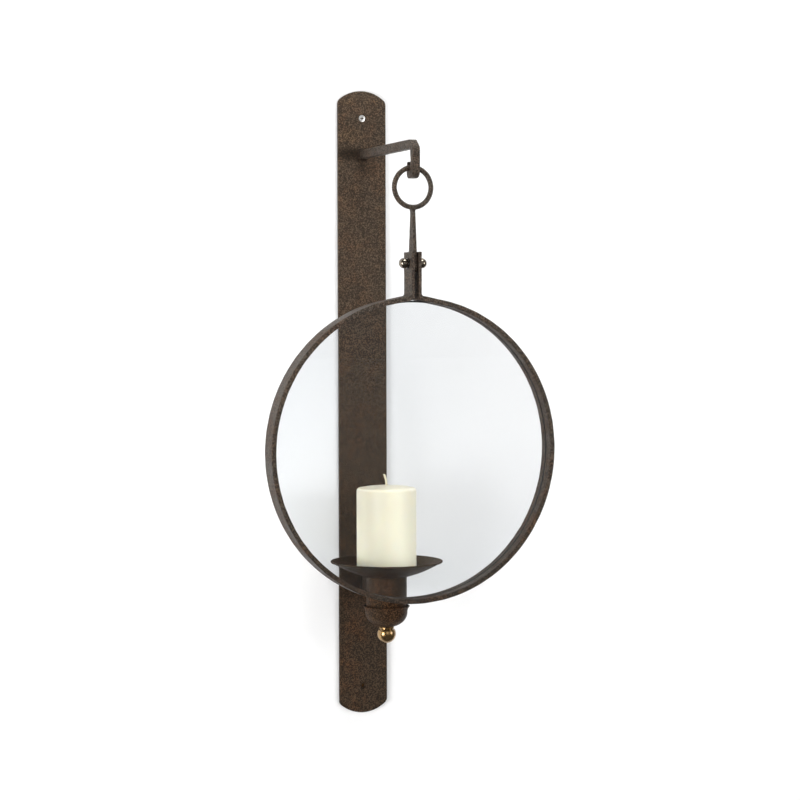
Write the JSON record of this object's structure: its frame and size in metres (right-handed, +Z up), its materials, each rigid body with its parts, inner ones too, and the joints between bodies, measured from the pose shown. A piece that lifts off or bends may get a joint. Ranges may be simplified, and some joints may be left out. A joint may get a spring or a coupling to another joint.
{
  "type": "wall sconce candle holder",
  "caption": "Wall sconce with a tall strap back plate, a hook arm that hangs a round glass screen in a metal hoop, and a drip pan on a ball-tipped cup behind it for a pillar candle.",
  "frame": {"origin": "centre of the back plate's back face, on the wall", "axes": "+X to the right seen from the room, +Y into the wall, +Z up along the back plate"},
  "size_m": [0.3572, 0.203, 0.771],
  "materials": {
    "plate_iron": "antique brown iron, satin",
    "bar_iron": "antique brown iron, satin",
    "hoop_iron": "antique brown iron, satin",
    "pan_iron": "antique brown iron, satin",
    "tube_iron": "antique brown iron, satin",
    "brass": "aged, polished",
    "rod_steel": "dull",
    "screw_steel": "zinc plated",
    "glass": "clear",
    "gasket_rubber": "matt",
    "wax": "smooth wax",
    "wick_cotton": "braided, waxed"
  },
  "bodies": {
    "bracket": {"back_plate": "plate_iron", "hook_arm": "bar_iron", "candle_arm": "bar_iron", "wall_screw": "screw_steel", "drip_pan": "pan_iron", "candle_tube": "tube_iron", "cup": "pan_iron", "tie_rod": "rod_steel", "finial_collar": "brass", "ball_finial": "brass"},
    "hanger": {"hanging_ring": "bar_iron", "ring_stem": "bar_iron"},
    "screen": {"hoop": "hoop_iron", "glass_disc": "glass", "glass_gasket": "gasket_rubber", "pivot_pin": "rod_steel", "ball_nut_left": "brass", "ball_nut_right": "brass"},
    "pillar": {"candle": "wax", "wick": "wick_cotton"}
  },
  "joints": [
    {"name": "ring_swing", "type": "hinge", "parent": "bracket", "child": "hanger", "pos_m": [0, -0.1645, 0.257], "axis": [0, 1, 0], "range_deg": [-45, 45]},
    {"name": "hoop_tilt", "type": "hinge", "parent": "hanger", "child": "screen", "pos_m": [0, -0.1645, 0.1689], "axis": [-1, 0, 0], "range_deg": [0, 80]},
    {"name": "candle_lift", "type": "slide", "parent": "bracket", "child": "pillar", "axis": [0, 0, 1], "range_m": [0, 0.12]}
  ]
}
